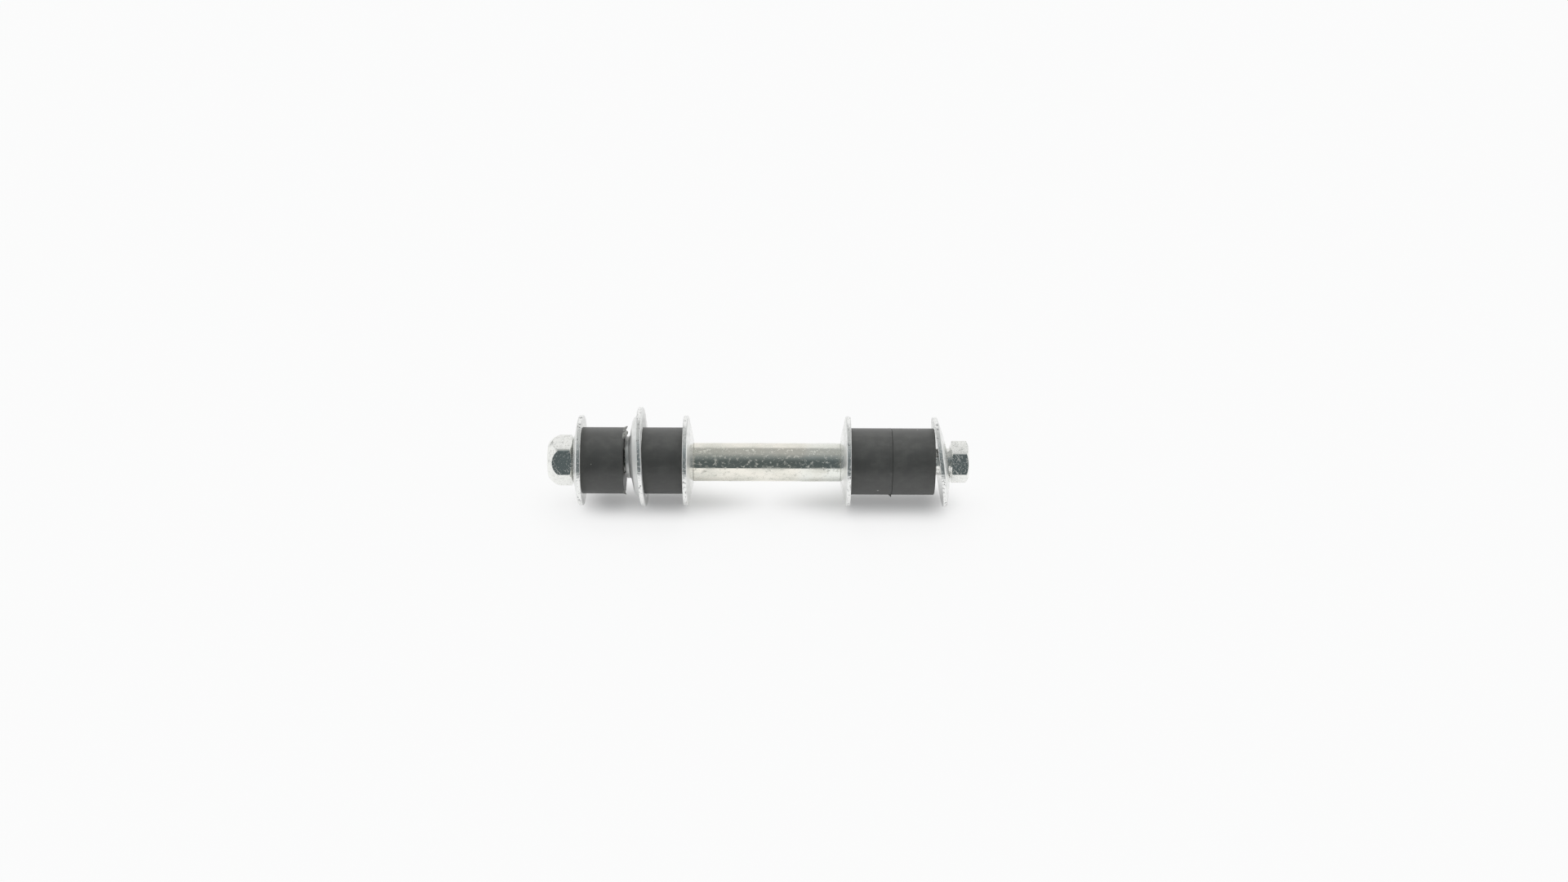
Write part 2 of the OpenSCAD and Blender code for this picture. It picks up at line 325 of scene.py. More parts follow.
# %% [markdown]
# ## Rubber bushings
# Each bushing is a plain moulded ring of rubber. Where the two halves of its mould met, at one end, a
# thin skirt of rubber is left: the flash. It is torn short nearly all round and hangs on in a few
# places. The skirt is part of the turned section, and its free edge is then drawn in or out by a
# rule: a little everywhere, ragged by noise, and longer at the places where it has hung on. Where two
# bushings meet, it can only go outward.

# %% Bushings
BUSHING_R = 12.5
BUSHING_BORE_R = 5.3
BUSHING_EDGE = 0.22
BUSHING_BORE_EDGE = 0.25
BUSHING_STEPS = 256
END_GAP = 0.04
SKIRT_DRAWN = 1
SKIRT_OUT = 0.55
SKIRT_ROOT = 0.4
SKIRT_ROOT_EDGE = 0.1
SKIRT_TIP = 0.18
SHORTEST_SKIRT = 0.03
TORN_FROM = 0.05
TORN_WAVES = 6
FRAYED_WAVES = 19
FRAYED_SHARE = 0.6
REST_SPREAD = 1.1
HUNG_SPREAD = 0.35


def skirt_length(around, rest, hung, seed):
    """Length of the skirt in millimetres at an angle up from the near side.

    Each place where it hung on is its angle, half its width and its length.
    """
    circle = Vector((math.cos(around), math.sin(around), 0))
    shift = Vector((0, 0, seed))
    torn_edge = noise.noise(TORN_WAVES * circle + shift)
    frayed_edge = noise.noise(FRAYED_WAVES * circle + shift)
    ragged = torn_edge + FRAYED_SHARE * frayed_edge
    length = rest * (1 + REST_SPREAD * ragged)
    for angle, half_width, reach in hung:
        away = math.degrees(around) - angle
        away = abs((away + 180) % 360 - 180) / half_width
        length += reach * max(0, 1 - away ** 4) * (1 + HUNG_SPREAD * ragged)
    return max(length, SHORTEST_SKIRT)


def bushing(name, node, skirt_end, rest, hung, seed, along=1.0, outward=1.0, root=SKIRT_ROOT):
    """Turns a bushing with a torn skirt of flash at its +X end (1) or its -X end (-1).

    The skirt's length goes along the bolt and outward by the two shares, from a root of a given width.
    The ends stand a hair inside the node's, so that two bushings that meet can turn against each other.
    """
    left, right = low_high(node, 0)
    length = (right - left) / MM - 2 * END_GAP
    start = (left if skirt_end > 0 else right) + skirt_end * END_GAP * MM
    section = [
        (0, BUSHING_BORE_R, BUSHING_BORE_EDGE), (0, BUSHING_R, BUSHING_EDGE),
        (length - root, BUSHING_R, SKIRT_ROOT_EDGE), (length + SKIRT_DRAWN, BUSHING_R + SKIRT_OUT, 0),
        (length + SKIRT_DRAWN, BUSHING_R + SKIRT_OUT - SKIRT_TIP, 0),
        (length, BUSHING_R - SKIRT_ROOT, 0), (length, BUSHING_BORE_R, BUSHING_BORE_EDGE)
    ]
    piece = turned(name, section, start, skirt_end, BUSHING_STEPS)
    end_x = start + skirt_end * length * MM
    for vertex in piece.data.vertices:
        beyond = skirt_end * (vertex.co.x - end_x) / MM
        if beyond > SKIRT_DRAWN / 2:
            around = math.atan2(vertex.co.z - axis_z, -vertex.co.y)
            kept = skirt_length(around, rest, hung, seed)
            radius = math.hypot(vertex.co.y, vertex.co.z - axis_z) / MM
            flare = (radius - BUSHING_R + SKIRT_TIP) * kept * outward
            new_radius = BUSHING_R - SKIRT_TIP + flare
            vertex.co.x = end_x + skirt_end * kept * along * MM
            vertex.co.y *= new_radius / radius
            vertex.co.z = axis_z + (vertex.co.z - axis_z) * new_radius / radius
    soften(piece)
    piece.data.materials.append(None)
    piece.data.materials.append(None)
    for face in piece.data.polygons:
        beyond = skirt_end * (face.center.x - end_x) / MM
        reach = math.hypot(face.center.y, face.center.z - axis_z) / MM
        if beyond > TORN_FROM and reach > BUSHING_R - SKIRT_ROOT:
            face.material_index = 1
    stands_for(piece, node)
    return piece


hung_on = [(98, 27, 1.0), (80, 8, 0.8), (-46, 17, 0.7), (200, 25, 0.6)]
outer_nut_rubber = bushing("outer_nut_rubber", "outer_bushing_nut_end", 1, 0.07, hung_on, 3.1)
inner_nut_rubber = bushing(
    "inner_nut_rubber", "inner_bushing_nut_end", -1, 0.12, [(118, 9, 0.25)], 7.4,
    along=0.2, outward=0.6
)
inner_head_rubber = bushing(
    "inner_head_rubber", "inner_bushing_head_end", 1, 0.2, [(-58, 8, 1.2)], 12.7,
    along=0, outward=1.4, root=1.1
)
outer_head_rubber = bushing(
    "outer_head_rubber", "outer_bushing_head_end", 1, 0.12, [(46, 7, 0.2)], 21.9,
    along=0.25
)
bushings = [outer_nut_rubber, inner_nut_rubber, inner_head_rubber, outer_head_rubber]

# %% [markdown]
# ## Lock nut
# A lock nut starts as hexagon bar and is turned to a dome at one end, so it is made the same way: a
# six-sided cylinder is cut by a turned shape with a Boolean modifier. The turned shape also has the
# bore, the pocket of the nylon ring and the lip that is rolled over it. The bar's long edges are
# rounded before the cut, because afterwards the short edges of the dome would limit the width of
# every rounding. A narrow Bevel modifier then takes the sharpness off the edges that the cut has
# made.

# %% Helpers for hexagon pieces
BAR_SPARE = 1 * MM
BAR_EDGE_ANGLE = 50
BAR_EDGE_SEGMENTS = 6


def cut_to(piece, turned_shape):
    """Keeps only what a piece shares with a turned shape, and removes that shape."""
    make_active(piece)
    cut = piece.modifiers.new("turning", "BOOLEAN")
    cut.operation = "INTERSECT"
    cut.solver = "EXACT"
    cut.object = turned_shape
    bpy.ops.object.modifier_apply(modifier=cut.name)
    bpy.data.objects.remove(turned_shape, do_unlink=True)


def break_edges(piece, width, degrees=20, segments=3):
    """Rounds the sharp edges of a piece by a small width in millimetres."""
    make_active(piece)
    edge = piece.modifiers.new("broken edges", "BEVEL")
    edge.width = width * MM
    edge.segments = segments
    edge.limit_method = "ANGLE"
    edge.angle_limit = math.radians(degrees)
    edge.use_clamp_overlap = True
    bpy.ops.object.modifier_apply(modifier=edge.name)


def hexagon(name, flats, from_x, to_x, turn, rounding):
    """Adds a six-sided bar along the bolt, with one corner turned up from the level.

    The turn is in degrees. Drawn bar has rounded edges, and their rounding is in millimetres.
    """
    start_clean()
    bpy.ops.mesh.primitive_cylinder_add(
        vertices=6, radius=flats * MM / math.sqrt(3), depth=abs(to_x - from_x),
        location=((from_x + to_x) / 2, 0, axis_z), rotation=(0, math.pi / 2, 0)
    )
    bar = bpy.context.object
    bar.name = name
    bpy.ops.object.transform_apply(location=True, rotation=True, scale=True)
    tip(bar, math.radians(turn), Vector((0, 0, axis_z)), "X")
    break_edges(bar, rounding, BAR_EDGE_ANGLE, BAR_EDGE_SEGMENTS)
    return bar


# %% Lock nut
NUT_AF = 17
NUT_H = (nut_face_x - nut_outer_x) / MM
NUT_TURN = 7
NUT_BORE_R = 4.95
MOUTH_CHAMFER = 0.6
DOME_LEN = 6.4
DOME_R = 7.8
DOME_STEPS = 14
SEAT_INSET = 0.25
LIP_R = 5.75
LIP_T = 0.7
LIP_EDGE = 0.25
NUT_BAR_EDGE = 0.7
NUT_CUT_EDGE = 0.4
POCKET_R = 6.4
POCKET_LEN = 2.5
CORNER_SPARE = 0.1
CHAMFER_SLOPE = math.tan(math.radians(30))
nut_corner_r = NUT_AF / math.sqrt(3) + CORNER_SPARE
nut_seat_r = NUT_AF / 2 - SEAT_INSET
nut_seat_chamfer = (nut_corner_r - nut_seat_r) * CHAMFER_SLOPE
dome_middle = (NUT_H - DOME_LEN, nut_corner_r - DOME_R)
dome_end_angle = math.asin(DOME_LEN / DOME_R)
pocket_from = NUT_H - LIP_T - POCKET_LEN
nut_section = [
    (0, NUT_BORE_R + MOUTH_CHAMFER, 0), (MOUTH_CHAMFER, NUT_BORE_R, 0), (pocket_from, NUT_BORE_R, 0),
    (pocket_from, POCKET_R, 0), (NUT_H - LIP_T, POCKET_R, 0), (NUT_H - LIP_T, LIP_R, 0),
    (NUT_H, LIP_R, LIP_EDGE)
]
for step in range(DOME_STEPS, -1, -1):
    angle = dome_end_angle * step / DOME_STEPS
    dome_along = dome_middle[0] + DOME_R * math.sin(angle)
    dome_out = dome_middle[1] + DOME_R * math.cos(angle)
    nut_section.append((dome_along, dome_out, 0))
nut_section += [(nut_seat_chamfer, nut_corner_r, 0), (0, nut_seat_r, 0)]
nut_turning = turned("nut_turning", nut_section, nut_face_x, -1)
domed_nut = hexagon(
    "domed_nut", NUT_AF, nut_outer_x - BAR_SPARE, nut_face_x + BAR_SPARE, NUT_TURN, NUT_BAR_EDGE
)
cut_to(domed_nut, nut_turning)
break_edges(domed_nut, NUT_CUT_EDGE)
soften(domed_nut)
stands_for(domed_nut, "lock_nut")

# %% [markdown]
# The nylon ring is what makes the nut a lock nut: the thread presses into it and cannot shake loose.
# It shows in the nut's mouth, so its inner edges are rounded as a moulded ring's are.

# %% Nylon ring
RING_BORE_R = 4.95
RING_R = 6.35
RING_BORE_EDGE = 0.35
RING_EDGE = 0.2
ring_left, ring_right = low_high("nylon_ring", 0)
ring_len = (ring_right - ring_left) / MM
ring_section = [
    (0, RING_BORE_R, RING_BORE_EDGE), (0, RING_R, RING_EDGE),
    (ring_len, RING_R, RING_EDGE), (ring_len, RING_BORE_R, RING_BORE_EDGE)
]
lock_ring = turned("lock_ring", ring_section, ring_left)
soften(lock_ring)
stands_for(lock_ring, "nylon_ring")

# %% [markdown]
# ## Bolt
# The bolt has a hexagon head, a plain shank and a rolled thread. The thread is a helix, and a helix
# on a turned bar is one rule: the depth of the groove depends on how far along and how far round a
# point is. So the shank is turned with many rings where the thread goes, and each vertex there is
# moved in by that rule. The groove fades in over the first turn and is cut by the chamfer at the tip.

# %% Shank and thread
BOLT_R = 5
CREST_R = 4.9
ROOT_DEPTH = 0.7
PITCH = 1.25
THREAD_LEN = 34
TIP_CHAMFER = 1
RINGS_PER_PITCH = 10
RUNOUT = 0.5
CREST_SHARE = 0.08
FLANK_SHARE = 0.36
THREAD_SLACK = 0.01
THREAD_SMOOTH = 40
SHANK_STEPS = 96
IN_HEAD = 1
HEAD_H = 6.8
head_face_x = head_end_x - HEAD_H * MM
bolt_len = (head_face_x - tip_x) / MM
thread_from = bolt_len - THREAD_LEN
ring_count = int(THREAD_LEN / PITCH * RINGS_PER_PITCH)
shank_section = [(-IN_HEAD, 0, 0), (-IN_HEAD, BOLT_R, 0), (thread_from - RUNOUT, BOLT_R, 0)]
for ring in range(ring_count):
    shank_section.append((thread_from + ring * (THREAD_LEN - TIP_CHAMFER) / ring_count, CREST_R, 0))
shank_section += [
    (bolt_len - TIP_CHAMFER, CREST_R, 0), (bolt_len, CREST_R - TIP_CHAMFER, 0), (bolt_len, 0, 0)
]
threaded_bolt = turned("threaded_bolt", shank_section, head_face_x, -1, SHANK_STEPS)


def groove(along, turn):
    """Depth of the thread in millimetres at a place on the bolt: flat crest, V flanks."""
    phase = (along / PITCH + turn / (2 * math.pi)) % 1
    flank = min(max((0.5 - abs(phase - 0.5) - CREST_SHARE) / FLANK_SHARE, 0), 1)
    fade = min(max((along - thread_from) / PITCH, 0), 1)
    return ROOT_DEPTH * flank * fade


for vertex in threaded_bolt.data.vertices:
    along = (head_face_x - vertex.co.x) / MM
    radius = math.hypot(vertex.co.y, vertex.co.z - axis_z) / MM
    if along > thread_from and radius > CREST_R - TIP_CHAMFER - THREAD_SLACK:
        turn = math.atan2(vertex.co.z - axis_z, vertex.co.y)
        cut_radius = min(radius, CREST_R - groove(along, turn))
        vertex.co.y *= cut_radius / radius
        vertex.co.z = axis_z + (vertex.co.z - axis_z) * cut_radius / radius
soften(threaded_bolt, THREAD_SMOOTH)

# %% [markdown]
# The head is cut from a six-sided bar as the nut was: a chamfer on its outer end and a round face
# underneath. It is then joined to the shank, so that the bolt is one piece.

# %% Head
HEAD_AF = 14
HEAD_TURN = 9
HEAD_FACE_H = 0.5
FACE_INSET = 0.35
UNDER_FACE_R = 6.2
UNDER_CHAMFER = 0.5
HEAD_BAR_EDGE = 0.35
HEAD_CUT_EDGE = 0.25
head_corner_r = HEAD_AF / math.sqrt(3) + CORNER_SPARE
head_face_r = HEAD_AF / 2 - FACE_INSET
head_chamfer = (head_corner_r - head_face_r) * CHAMFER_SLOPE
head_section = [
    (0, 0, 0), (0, UNDER_FACE_R, 0), (HEAD_FACE_H, UNDER_FACE_R, 0),
    (HEAD_FACE_H, head_corner_r - UNDER_CHAMFER, 0), (HEAD_FACE_H + UNDER_CHAMFER, head_corner_r, 0),
    (HEAD_H - head_chamfer, head_corner_r, 0), (HEAD_H, head_face_r, 0), (HEAD_H, 0, 0)
]
head_turning = turned("head_turning", head_section, head_face_x)
bolt_head = hexagon(
    "bolt_head", HEAD_AF, head_face_x - BAR_SPARE, head_end_x + BAR_SPARE, HEAD_TURN, HEAD_BAR_EDGE
)
cut_to(bolt_head, head_turning)
break_edges(bolt_head, HEAD_CUT_EDGE)
soften(bolt_head)
make_active(threaded_bolt)
bolt_head.select_set(True)
bpy.ops.object.join()
stands_for(threaded_bolt, "bolt")

# %% [markdown]
# ## Writing shader maths
# A material is a graph of nodes. Small sums are easier to read as Python, so one class wraps a socket
# and turns operators into Math nodes, and one method adds any other node: its settings first, then
# its sockets.

# %% Shader helper
class Wire:
    """An output socket of a node tree, with Python's operators for its maths."""

    def __init__(self, finish, socket):
        self.finish = finish
        self.socket = socket

    def maths(self, operation, first, second):
        return self.finish.maths(operation, first, second)

    def __add__(self, other):
        return self.maths("ADD", self, other)

    def __radd__(self, other):
        return self.maths("ADD", other, self)

    def __sub__(self, other):
        return self.maths("SUBTRACT", self, other)

    def __rsub__(self, other):
        return self.maths("SUBTRACT", other, self)

    def __mul__(self, other):
        return self.maths("MULTIPLY", self, other)

    def __rmul__(self, other):
        return self.maths("MULTIPLY", other, self)

    def __truediv__(self, other):
        return self.maths("DIVIDE", self, other)

    def __lt__(self, other):
        return self.maths("LESS_THAN", self, other)


class Finish:
    """A node tree that is filled one node at a time."""

    def __init__(self, owner):
        owner.use_nodes = True
        self.tree = owner.node_tree
        self.tree.nodes.clear()

    def node(self, kind, settings=None, sockets=None, out=0):
        """Adds a node: its settings are set first, then the values or links of its sockets."""
        added = self.tree.nodes.new(kind)
        for name, value in (settings or {}).items():
            if name == "stops":
                ramp = added.color_ramp.elements
                while len(ramp) < len(value):
                    ramp.new(1)
                for stop, (place, colour) in zip(ramp, value):
                    stop.position = place
                    stop.color = colour
            else:
                setattr(added, name, value)
        for name, value in (sockets or {}).items():
            if isinstance(value, Wire):
                self.tree.links.new(value.socket, added.inputs[name])
            else:
                added.inputs[name].default_value = value
        return Wire(self, added.outputs[out] if added.outputs else None)

    def maths(self, operation, first, second=0):
        """Adds one Math node."""
        return self.node("ShaderNodeMath", {"operation": operation}, {0: first, 1: second})

    def place(self, stretch=(1, 1, 1), turn=(0, 0, 0)):
        """Object coordinates, turned and stretched."""
        where = self.node("ShaderNodeTexCoord", out="Object")
        turned_place = self.node("ShaderNodeMapping", {}, {"Vector": where, "Rotation": turn})
        return self.node("ShaderNodeMapping", {}, {"Vector": turned_place, "Scale": stretch})

    def noise(self, where, scale, detail=3.0, rough=0.55):
        """Noise from 0 to 1, with its scale in cells per metre."""
        sockets = {"Vector": where, "Scale": scale, "Detail": detail, "Roughness": rough}
        return self.node("ShaderNodeTexNoise", {}, sockets)

    def ramp(self, value, low, high):
        """Stretches the span from low to high to 0 to 1, smoothly, and clamps it."""
        settings = {"interpolation_type": "SMOOTHSTEP"}
        sockets = {"Value": value, "From Min": low, "From Max": high}
        return self.node("ShaderNodeMapRange", settings, sockets)

    def blend(self, share, first, second):
        """Mixes two colours, which a Mix node takes at sockets 6 and 7 and gives at output 2."""
        sockets = {"Factor": share, 6: first, 7: second}
        return self.node("ShaderNodeMix", {"data_type": "RGBA"}, sockets, out=2)

    def bump(self, height, depth_mm, strength):
        """Turns a height from 0 to 1 into a bent normal."""
        sockets = {"Height": height, "Distance": depth_mm * MM, "Strength": strength}
        return self.node("ShaderNodeBump", {}, sockets)

    def surface(self, sockets):
        """Ends the tree in one Principled shader."""
        shader = self.node("ShaderNodeBsdfPrincipled", {}, sockets)
        self.node("ShaderNodeOutputMaterial", {}, {"Surface": shader})


def dress(piece, *materials):
    """Gives a piece its materials, one for each of its slots."""
    for number, material in enumerate(materials):
        if number < len(piece.data.materials):
            piece.data.materials[number] = material
        else:
            piece.data.materials.append(material)


# %% [markdown]
# ## Zinc plate
# Nut, bolt and washers are zinc plated: a bright, slightly blue metal with a faint cloudiness, a fine
# grain from the plating bath, and scratches from tumbling against each other in a box. A scratch is a
# thin matt line, so it looks pale where the plate mirrors something dark. Scratches come from noise
# that is stretched along a line, in three directions, and each of them raises the roughness and
# lowers the surface a little. The dished washers are smoother near the bolt than at the rim. The
# collared washer is matt all over, and its plate is paler.

# %% Zinc finish
SCRATCH_TURNS = [(0.5, 0.3, 0.9), (1.7, 1.1, 0.2), (0.3, 2.2, 1.4)]
SCRATCH_STRETCH = (1, 0.07, 1)
SCRATCH_FROM = 0.69
SCRATCH_TO = 0.75
SCRATCH_MORE = 0.06
BURNISHED_TO = 11 * MM
MATT_FROM = 14.5 * MM
BRIGHT_PLATE = (0.91, 0.915, 0.885, 1)
BRIGHT_CLOUD = (0.83, 0.835, 0.81, 1)
SHEET_PLATE = (0.92, 0.925, 0.91, 1)
SHEET_CLOUD = (0.86, 0.865, 0.85, 1)


def from_bolt(finish):
    """Distance of a point from the bolt's line."""
    level = finish.node("ShaderNodeSeparateXYZ", {}, {"Vector": finish.place()}, out="Y")
    height = finish.node("ShaderNodeSeparateXYZ", {}, {"Vector": finish.place()}, out="Z") - axis_z
    return finish.maths("SQRT", level * level + height * height)


def zinc(name, tint, cloud_tint, roughness, cloud_scale, scratched, metal=1.0, burnished=0.0):
    """Makes a plated finish from its tint, clouds, roughness, scratches and how metallic it looks.

    Near the bolt it can be burnished: the roughness is then less by that much.
    """
    material = bpy.data.materials.new(name)
    finish = Finish(material)
    matt = finish.ramp(from_bolt(finish), BURNISHED_TO, MATT_FROM)
    clouds = finish.noise(finish.place(), scale=cloud_scale, detail=4, rough=0.6)
    cloudy = finish.ramp(clouds, 0.42, 0.7)
    grain = finish.noise(finish.place(), scale=4200, detail=2, rough=0.5)
    scratch = 0
    more = SCRATCH_MORE * scratched
    for turn in SCRATCH_TURNS:
        streak = finish.noise(finish.place(SCRATCH_STRETCH, turn), scale=2300, detail=1, rough=0.4)
        scratch = scratch + finish.ramp(streak, SCRATCH_FROM - more, SCRATCH_TO - more)
    worn_plate = roughness - burnished + matt * burnished
    finish.surface({
        "Base Color": finish.blend(cloudy, tint, cloud_tint), "Metallic": metal,
        "Normal": finish.bump(grain * 0.4 - scratch, depth_mm=0.02, strength=0.25),
        "Roughness": worn_plate + cloudy * 0.07 + grain * 0.05 + scratch * 0.4
    })
    return material


bolt_zinc = zinc("bolt_zinc", BRIGHT_PLATE, BRIGHT_CLOUD, 0.1, 420, 1.2)
nut_zinc = zinc("nut_zinc", BRIGHT_PLATE, BRIGHT_CLOUD, 0.09, 380, 0.9)
washer_zinc = zinc("washer_zinc", SHEET_PLATE, SHEET_CLOUD, 0.33, 330, 0.3, metal=0.75, burnished=0.17)
bowl_zinc = zinc("bowl_zinc", SHEET_PLATE, SHEET_CLOUD, 0.33, 330, 0.3, metal=0.55)
dress(domed_nut, nut_zinc)
dress(threaded_bolt, bolt_zinc)
print("zinc on the nut and the bolt")

# %% [markdown]
# A sheared edge is not smooth: the punch leaves lines across the thickness of the sheet and small torn
# pits. The lines are noise that is stretched along the bolt. The pits are dented by the bump, and their
# darker colour is painted shade in them.

# %% Sheared edge finish
SHEARED_BRIGHT = (0.93, 0.935, 0.92, 1)
PIT_SHADE = (0.45, 0.45, 0.45, 1)
sheared_zinc = bpy.data.materials.new("sheared_zinc")
shear = Finish(sheared_zinc)
lines = shear.noise(shear.place((0.2, 1, 1)), scale=1300, detail=3, rough=0.6)
pits = shear.ramp(shear.noise(shear.place(), scale=1000, detail=3, rough=0.6), 0.57, 0.64)
# The pits' darker colour is painted shade inside them; their dent is the bump.
shear.surface({
    "Base Color": shear.blend(pits, SHEARED_BRIGHT, PIT_SHADE), "Metallic": 0.88,
    "Roughness": 0.12 + lines * 0.1 + pits * 0.2,
    "Normal": shear.bump(lines - pits, depth_mm=0.14, strength=0.8)
})
for piece in (nut_end_dish, inner_nut_dish, inner_head_dish, loose_dish):
    dress(piece, washer_zinc, sheared_zinc)
dress(collared_bowl, bowl_zinc, sheared_zinc)
print("zinc and a sheared edge on five washers")

# %% [markdown]
# ## Sleeve finish
# The sleeve's plate has a pale yellow tint that turns to blue in places, and shows the drawing of the
# tube: fine lines along it, with cloudy patches where the plating has taken unevenly, and matt
# specks.

# %% Sleeve finish
YELLOW_PLATE = (0.91, 0.88, 0.8, 1)
BLUE_PLATE = (0.87, 0.885, 0.84, 1)
DULL_PLATE = (0.76, 0.76, 0.69, 1)
sleeve_zinc = bpy.data.materials.new("sleeve_zinc")
tube = Finish(sleeve_zinc)
drawn = tube.noise(tube.place((0.06, 1, 1)), scale=2400, detail=3, rough=0.6)
patches = tube.ramp(tube.noise(tube.place((0.5, 1, 1)), scale=170, detail=5, rough=0.65), 0.38, 0.66)
specks = tube.ramp(tube.noise(tube.place((0.8, 1, 1)), scale=900, detail=4, rough=0.62), 0.52, 0.68)
bluish = tube.ramp(tube.noise(tube.place((1, 0.3, 0.3)), scale=45, detail=2, rough=0.5), 0.45, 0.62)
tint = tube.blend(bluish, YELLOW_PLATE, BLUE_PLATE)
tube_colour = tube.blend(patches * 0.8, tint, DULL_PLATE)
tube.surface({
    "Base Color": tube_colour, "Metallic": 1.0 - specks * 0.42,
    "Normal": tube.bump(drawn * 0.5 + specks * 0.2, depth_mm=0.02, strength=0.18),
    "Roughness": 0.05 + patches * 0.23 + specks * 0.32
})
dress(spacer_tube, sleeve_zinc)
print("sleeve finish on", spacer_tube.name)

# %% [markdown]
# ## Rubber
# Moulded rubber is a dark grey that scatters light over its surface. It has a fine grain from the
# mould, patches where the mould was a little rougher, faint rings from turning the mould, and a few
# pale specks of dust. A speck is the middle of a cell of a Voronoi pattern, kept only in a few cells,
# by a random number for each cell.

# %% Rubber finish
SPECK_CELLS = 330
SPECK_SIZE = 0.15
SPECK_CHANCE = 0.84
DARK_RUBBER = (0.07, 0.071, 0.068, 1)
WORN_RUBBER = (0.104, 0.105, 0.1, 1)
DUST = (0.4, 0.4, 0.38, 1)
rubber = bpy.data.materials.new("bushing_rubber")
mould = Finish(rubber)
pores = mould.noise(mould.place(), scale=3600, detail=3, rough=0.6)
rings = mould.noise(mould.place((1, 0.04, 0.04)), scale=1800, detail=2, rough=0.5)
worn = mould.ramp(mould.noise(mould.place((0.7, 1, 1)), scale=300, detail=4, rough=0.6), 0.38, 0.72)
cell_sockets = {"Vector": mould.place(), "Scale": SPECK_CELLS}
from_middle = mould.node("ShaderNodeTexVoronoi", {}, cell_sockets, out="Distance")
cell_middle = mould.node("ShaderNodeTexVoronoi", {}, cell_sockets, out="Position")
chance = mould.node("ShaderNodeTexWhiteNoise", {"noise_dimensions": "3D"}, {"Vector": cell_middle})
dust = (from_middle < SPECK_SIZE * mould.ramp(chance, SPECK_CHANCE, 1.0)) * 0.8
bare_rubber = mould.blend(worn * 0.7 + rings * 0.3, DARK_RUBBER, WORN_RUBBER)
mould.surface({
    "Base Color": mould.blend(dust, bare_rubber, DUST), "Roughness": 0.4 + worn * 0.1,
    "Specular IOR Level": 0.55, "Normal": mould.bump(pores, depth_mm=0.08, strength=0.4)
})

# %% [markdown]
# The flash is torn, not moulded, so it is matt, uneven and paler where the tear has stretched the
# rubber.

# %% Torn rubber finish
TORN_DARK = (0.06, 0.06, 0.06, 1)
TORN_PALE = (0.34, 0.34, 0.32, 1)
torn_rubber = bpy.data.materials.new("torn_rubber")
torn = Finish(torn_rubber)
fibres = torn.noise(torn.place((0.4, 1, 1)), scale=1500, detail=4, rough=0.65)
stretched = torn.ramp(fibres, 0.36, 0.6)
torn.surface({
    "Base Color": torn.blend(stretched, TORN_DARK, TORN_PALE), "Roughness": 0.6 + stretched * 0.2,
    "Normal": torn.bump(fibres, depth_mm=0.08, strength=0.5)
})
for piece in bushings:
    dress(piece, rubber, torn_rubber)
print("rubber on", len(bushings), "bushings")

# %% [markdown]
# ## Nylon
# The lock ring is natural nylon: off-white, a little waxy, with the faint flow marks of moulding.

# %% Nylon finish
NYLON_PALE = (0.8, 0.8, 0.74, 1)
NYLON_FLOW = (0.7, 0.7, 0.64, 1)
nylon = bpy.data.materials.new("lock_nylon")
waxy = Finish(nylon)
flow = waxy.ramp(waxy.noise(waxy.place(), scale=700, detail=3, rough=0.5), 0.35, 0.7)
waxy.surface({
    "Base Color": waxy.blend(flow, NYLON_PALE, NYLON_FLOW), "Roughness": 0.38 + flow * 0.12,
    "Subsurface Weight": 0.1
})
dress(lock_ring, nylon)
print("nylon on", lock_ring.name)

# %% [markdown]
# ## Floor
# The link lies on a plain white table. The floor is a diffuse surface, so it keeps the soft shadow. A
# part of it is painted plain white to the eye and to mirrors alike, as in a picture that is exposed for
# a white ground. That part grows with the distance from the two pairs of bushings, so the painted white
# fades the shadow out away from them and lightens it under the sleeve, and it gives no light to the
# link. In mirrors the table is painted dim beyond a hand's width in front of the link: a painted
# reflection of the dim side of the room.

# %% Floor
FLOOR_SIZE = 20
WHITE_NEAR = 0.25
WHITE_FAR = 0.85
PAIR_OUTER_X = 58 * MM
MIDDLE_X = 3.3 * MM
PAIR_INNER_X = 30 * MM
INNER_SHARE = 0.57
SHADOW_WIDTH = 19 * MM
DIM_FROM = 105 * MM
DIM_TO = 165 * MM
PAPER_DARK = (0.93, 0.93, 0.93, 1)
PAPER_PALE = (0.95, 0.95, 0.95, 1)
PLAIN_WHITE = (0.97, 0.97, 0.97, 1)
NEAR_WALL = (0.098, 0.119, 0.124, 1)
start_clean()
bpy.ops.mesh.primitive_plane_add(size=FLOOR_SIZE)
floor = bpy.context.object
floor.name = "table"
table_white = bpy.data.materials.new("table_white")
table = Finish(table_white)
paper = table.noise(table.place(), scale=2000, detail=2, rough=0.5)
matt = table.node("ShaderNodeBsdfPrincipled", {}, {
    "Base Color": table.blend(paper, PAPER_DARK, PAPER_PALE), "Roughness": 0.9,
    "Specular IOR Level": 0.1
})
seen = table.node("ShaderNodeLightPath", out="Is Camera Ray")
mirrored = table.node("ShaderNodeLightPath", out="Is Glossy Ray")
looked_through = table.node("ShaderNodeLightPath", out="Is Transmission Ray")
glow = table.node("ShaderNodeEmission", {}, {"Color": PLAIN_WHITE, "Strength": 1.0})
table_x = table.node("ShaderNodeSeparateXYZ", {}, {"Vector": table.place()}, out="X")
table_y = table.node("ShaderNodeSeparateXYZ", {}, {"Vector": table.place()}, out="Y")
from_middle_x = table.maths("ABSOLUTE", table_x - MIDDLE_X)
past_outer = table.maths("MAXIMUM", from_middle_x - PAIR_OUTER_X, 0)
past_inner = table.maths("MAXIMUM", PAIR_INNER_X - from_middle_x, 0) * INNER_SHARE
away = table.maths("SQRT", past_outer * past_outer + past_inner * past_inner + table_y * table_y)
